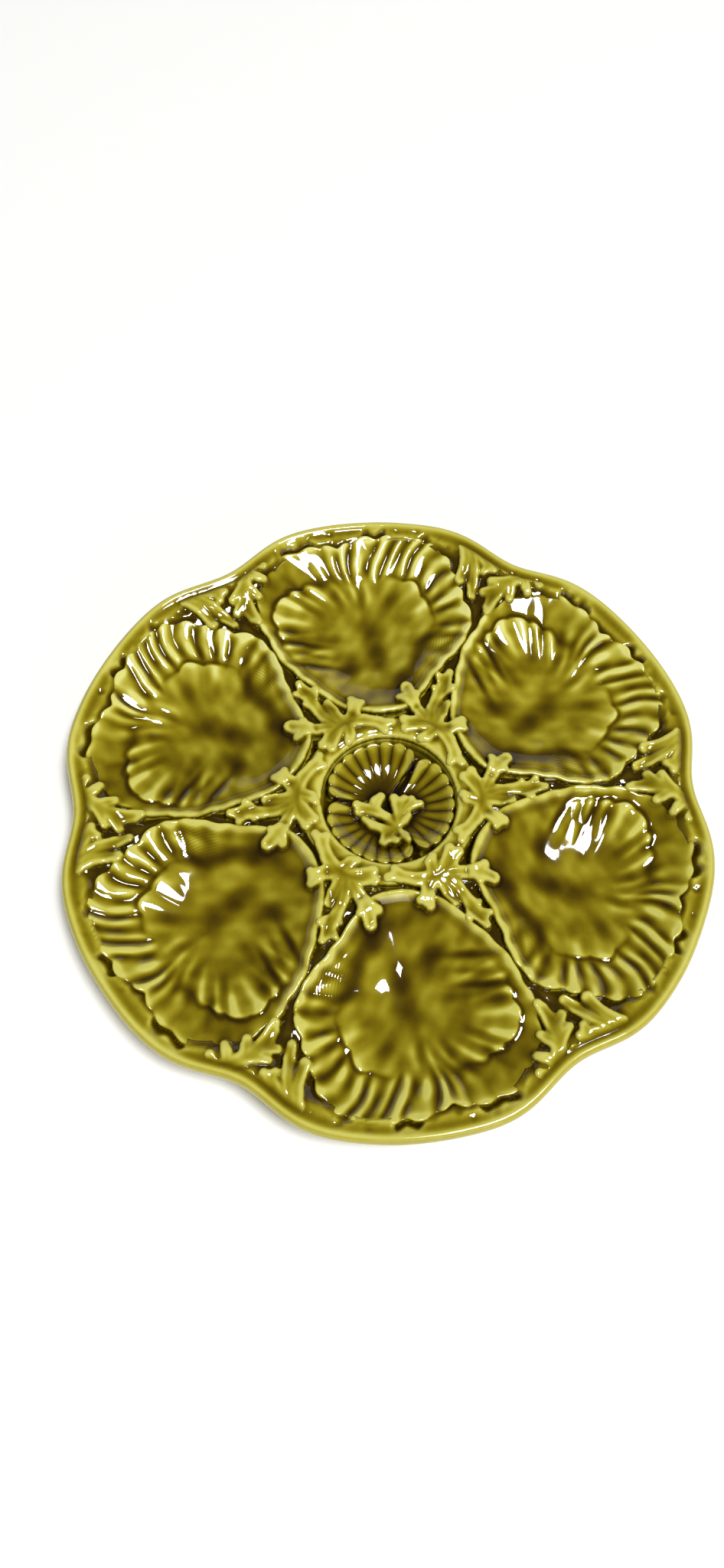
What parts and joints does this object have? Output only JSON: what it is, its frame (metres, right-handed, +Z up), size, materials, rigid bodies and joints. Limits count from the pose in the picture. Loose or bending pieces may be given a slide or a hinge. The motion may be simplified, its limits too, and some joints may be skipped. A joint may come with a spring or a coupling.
{
  "type": "oyster plate",
  "caption": "Lobed round serving plate in glazed earthenware, with ribbed shell-shaped wells round a sauce cup, seaweed relief between them and a turned foot ring.",
  "frame": {"origin": "centre of the plate on the table, under the foot ring", "axes": "+Z up out of the sauce cup, +Y through the middle of the first well's lobe, +X to its right seen from above"},
  "size_m": [0.237, 0.245, 0.0213],
  "materials": {
    "glaze_body": "glossy olive and amber lead-type glaze, dark where it pools",
    "glaze_shell": "glossy olive and amber glaze, paler on ribs and lips",
    "glaze_relief": "glossy olive glaze, pale on the raised edges",
    "glaze_foot": "glossy olive glaze, wiped bare where the plate stands"
  },
  "bodies": {
    "root": {"plate_body": "glaze_body", "foot_ring": "glaze_foot", "sauce_cup": "glaze_body", "twig_ring": "glaze_relief", "scallop_fan_1": "glaze_relief", "scallop_fan_2": "glaze_relief", "scallop_fan_3": "glaze_relief", "centre_sprig": "glaze_relief", "oyster_shell_1": "glaze_shell", "oyster_shell_2": "glaze_shell", "oyster_shell_3": "glaze_shell", "oyster_shell_4": "glaze_shell", "oyster_shell_5": "glaze_shell", "oyster_shell_6": "glaze_shell", "ring_sprig_1": "glaze_relief", "ring_sprig_2": "glaze_relief", "ring_sprig_3": "glaze_relief", "ring_sprig_4": "glaze_relief", "ring_sprig_5": "glaze_relief", "ring_sprig_6": "glaze_relief", "rim_sprig_1": "glaze_relief", "rim_sprig_2": "glaze_relief", "rim_sprig_3": "glaze_relief", "rim_sprig_4": "glaze_relief", "rim_sprig_5": "glaze_relief", "rim_sprig_6": "glaze_relief"}
  },
  "joints": []
}
